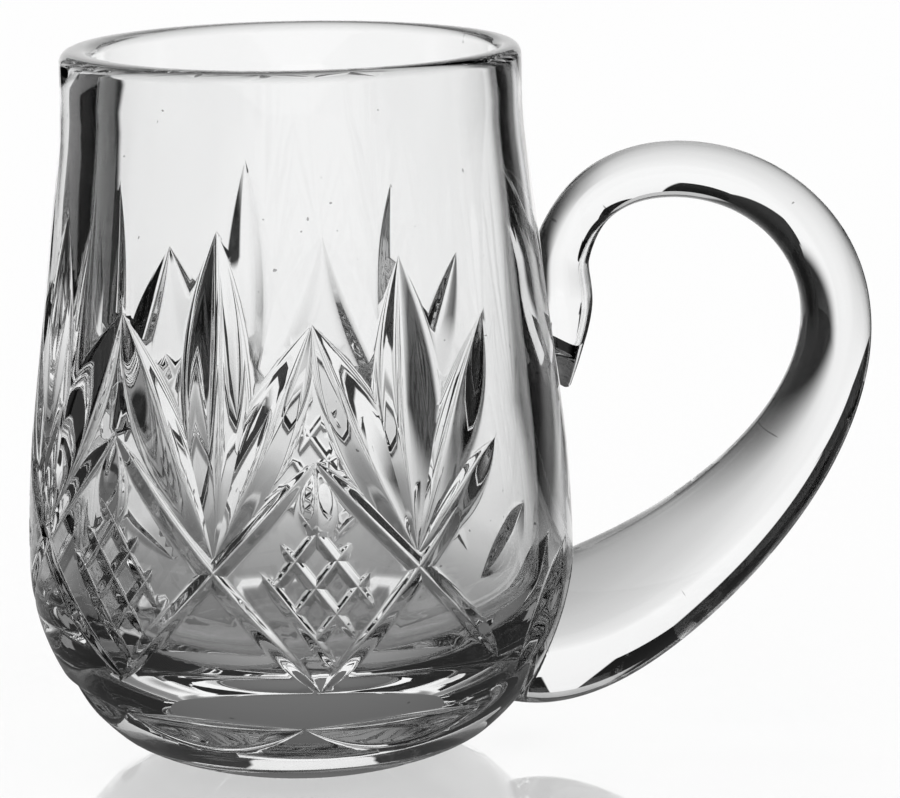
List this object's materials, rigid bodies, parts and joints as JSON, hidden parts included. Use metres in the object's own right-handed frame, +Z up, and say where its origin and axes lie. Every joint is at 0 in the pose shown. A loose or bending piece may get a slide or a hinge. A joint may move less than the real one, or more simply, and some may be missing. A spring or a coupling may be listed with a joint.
{
  "type": "crystal tankard",
  "caption": "Clear cut-glass tankard with a thick rounded base, a tapering wall with wheel-cut fans and hatched diamonds, and an applied loop handle.",
  "frame": {"origin": "centre of the flat foot, on the bowl's axis", "axes": "+Z up along the bowl's axis, +X towards the handle"},
  "size_m": [0.1362, 0.0878, 0.115],
  "materials": {
    "cut_crystal": "polished clear lead crystal with wheel-cut facets",
    "drawn_crystal": "fire-polished clear lead crystal, drawn and applied hot"
  },
  "bodies": {
    "root": {"bowl": "cut_crystal", "handle": "drawn_crystal"}
  },
  "joints": []
}
